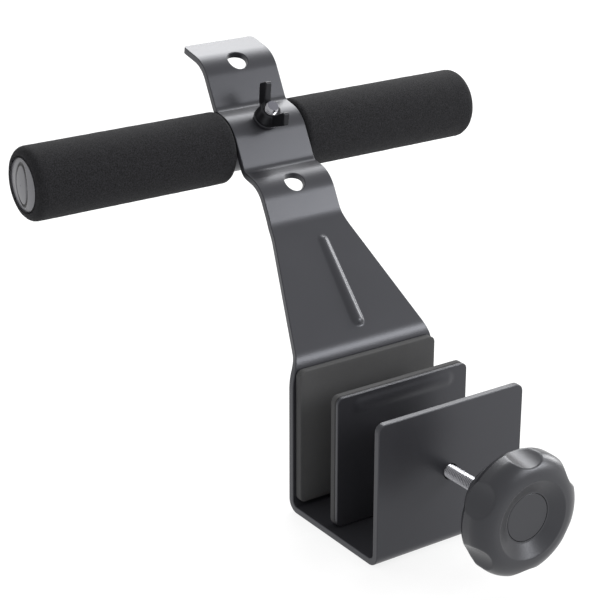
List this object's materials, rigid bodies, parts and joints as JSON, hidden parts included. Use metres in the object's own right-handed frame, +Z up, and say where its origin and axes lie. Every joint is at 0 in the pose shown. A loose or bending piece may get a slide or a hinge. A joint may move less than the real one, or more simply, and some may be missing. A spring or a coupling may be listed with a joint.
{
  "type": "door clamp exercise bar",
  "caption": "Foam-covered bar on a cranked steel strap with three stepped seats, clamped to a door's edge by a hand screw and a padded pressure plate.",
  "frame": {"origin": "where the clamp screw's axis meets the face of the back pad, which bears on the door", "axes": "+X along the bar, -Y out of the back pad's face towards the hand knob, +Z up the bracket's walls"},
  "size_m": [0.312, 0.3038, 0.2403],
  "materials": {
    "black_paint": "satin black powder coat",
    "pad_rubber": "matte closed-cell foam rubber",
    "grip_foam": "matte black foam",
    "knob_plastic": "fine-textured black plastic",
    "cap_plastic": "satin black plastic",
    "bright_zinc": "bright zinc plate"
  },
  "bodies": {
    "bracket": {"bracket": "black_paint", "weld_nut": "black_paint", "back_pad": "pad_rubber"},
    "pressure_foot": {"pressure_plate": "black_paint", "pressure_pad": "pad_rubber"},
    "screw": {"thrust_washer": "bright_zinc", "retaining_clip": "bright_zinc", "clamp_screw": "bright_zinc", "clamp_knob": "knob_plastic", "knob_cap": "knob_plastic"},
    "bar": {"bar_tube": "black_paint", "foam_grip_left": "grip_foam", "foam_grip_right": "grip_foam", "end_cap_left": "cap_plastic", "end_cap_right": "cap_plastic", "bar_bolt": "bright_zinc"},
    "nut_washer": {"nut_washer": "black_paint"},
    "wing_nut": {"wing_nut": "black_paint"}
  },
  "joints": [
    {"name": "foot_slide", "type": "slide", "parent": "bracket", "child": "pressure_foot", "axis": [0, 1, 0], "range_m": [-0.029, 0.0255]},
    {"name": "knob_turn", "type": "hinge", "parent": "pressure_foot", "child": "screw", "pos_m": [0, -0.034, 0], "axis": [0, 1, 0], "range_deg": [-8280, 7200]},
    {"name": "bar_slide", "type": "slide", "parent": "bracket", "child": "bar", "axis": [0, 0.6122, -0.7907], "range_m": [0, 0.03]},
    {"name": "washer_lift", "type": "slide", "parent": "bracket", "child": "nut_washer", "axis": [0, -0.6122, 0.7907], "range_m": [0, 0.0076]},
    {"name": "wing_nut_turn", "type": "hinge", "parent": "nut_washer", "child": "wing_nut", "pos_m": [0, 0.1191, 0.1414], "axis": [0, -0.6122, 0.7907], "range_deg": [0, 2160]}
  ],
  "couplings": [
    {"joint": "foot_slide", "follows": "knob_turn", "m_per_rad": 0.00019894},
    {"joint": "washer_lift", "follows": "wing_nut_turn", "m_per_rad": 0.00019894}
  ]
}
